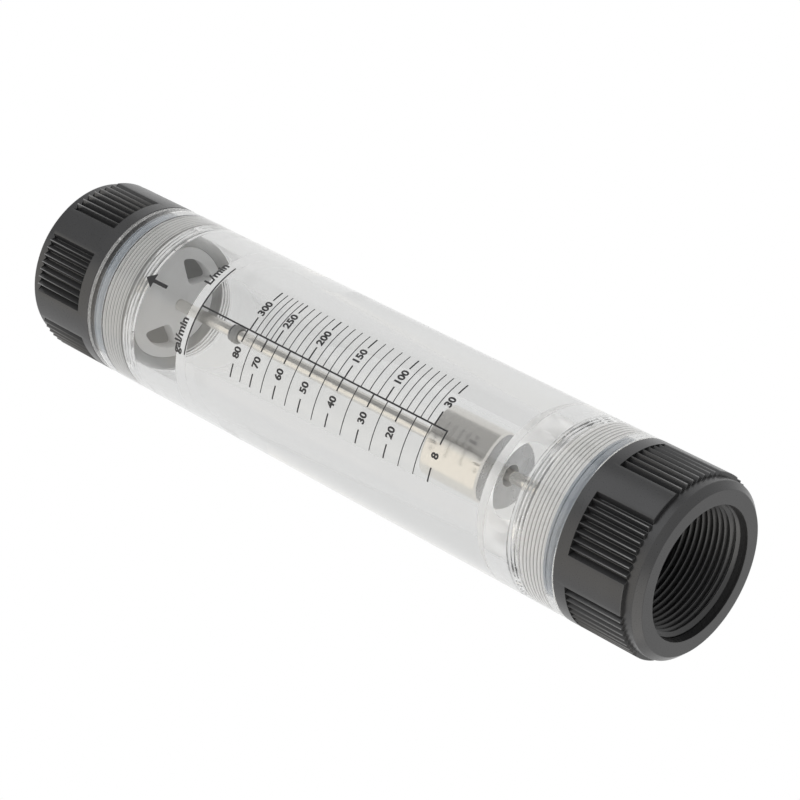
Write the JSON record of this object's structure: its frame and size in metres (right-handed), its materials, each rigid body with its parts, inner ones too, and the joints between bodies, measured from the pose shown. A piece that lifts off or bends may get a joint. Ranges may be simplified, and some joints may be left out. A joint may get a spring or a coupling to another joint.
{
  "type": "rotameter",
  "caption": "Clear inline flow meter: a steel float slides on a central rod in a slowly widening bore, between ribbed black fittings with pipe threads.",
  "frame": {"origin": "centre of the inlet fitting's end face", "axes": "+Z along the flow, from the inlet to the outlet; -Y towards the reader of the scale"},
  "size_m": [0.0666, 0.0664, 0.2962],
  "materials": {
    "clear_body": "polished clear acrylic",
    "fitting": "moulded black, semi-gloss",
    "sleeve": "black, its thread wrapped in pale sealing tape",
    "seal": "bluish silicone",
    "guide": "pale translucent",
    "rod": "polished stainless",
    "fastener": "stainless",
    "stop": "dark grey",
    "clip": "stainless",
    "float": "fine turned",
    "bush": "white, smooth"
  },
  "bodies": {
    "meter": {"inlet_fitting": "fitting", "outlet_fitting": "fitting", "inlet_sleeve": "sleeve", "outlet_sleeve": "sleeve", "body_tube": "clear_body", "inlet_o_ring": "seal", "outlet_o_ring": "seal", "lower_guide": "guide", "upper_guide": "guide", "guide_rod": "rod", "lower_washer": "fastener", "upper_washer": "fastener", "lower_nut": "fastener", "upper_nut": "fastener", "lower_stop": "stop", "upper_stop": "stop", "lower_clip": "clip", "upper_clip": "clip"},
    "float": {"float_body": "float", "float_lower_bush": "bush", "float_upper_bush": "bush"}
  },
  "joints": [
    {"name": "float_slide", "type": "slide", "parent": "meter", "child": "float", "axis": [0, 0, 1], "range_m": [0, 0.1019]}
  ]
}
